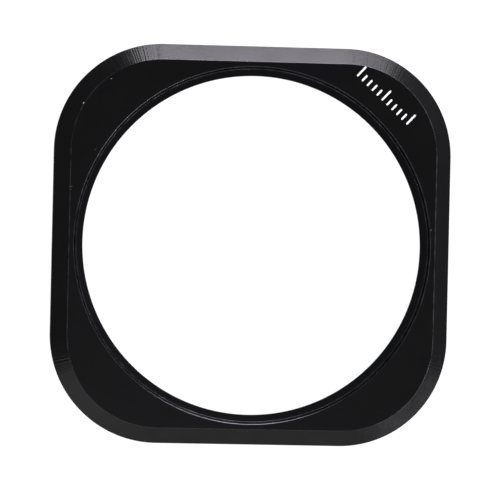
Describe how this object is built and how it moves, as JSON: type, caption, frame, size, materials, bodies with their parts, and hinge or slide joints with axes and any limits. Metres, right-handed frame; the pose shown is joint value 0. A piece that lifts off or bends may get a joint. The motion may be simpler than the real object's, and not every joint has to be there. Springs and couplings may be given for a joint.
{
  "type": "uv filter",
  "caption": "Clear protective lens filter for a small action camera: rounded-square black frame with a chamfer, round flat glass, bevelled ring, and a twist-lock collar with a seal behind.",
  "frame": {"origin": "on the optical axis, at the end of the collar that the filter lies on", "axes": "+Z along the optical axis, out of the front face; +X and +Y along the sides of the square plate, to the right and up as one reads the front"},
  "size_m": [0.043, 0.043, 0.0055],
  "materials": {
    "black_anodised_aluminium": "fine bead-blasted and black anodised, with a milled chamfer",
    "coated_glass": "polished, with an anti-reflection coating",
    "black_anodised_ring": "turned and black anodised",
    "black_silicone": "moulded, matte"
  },
  "bodies": {
    "root": {"frame": "black_anodised_aluminium", "uv_glass": "coated_glass", "retaining_ring": "black_anodised_ring", "seal_ring": "black_silicone"}
  },
  "joints": []
}
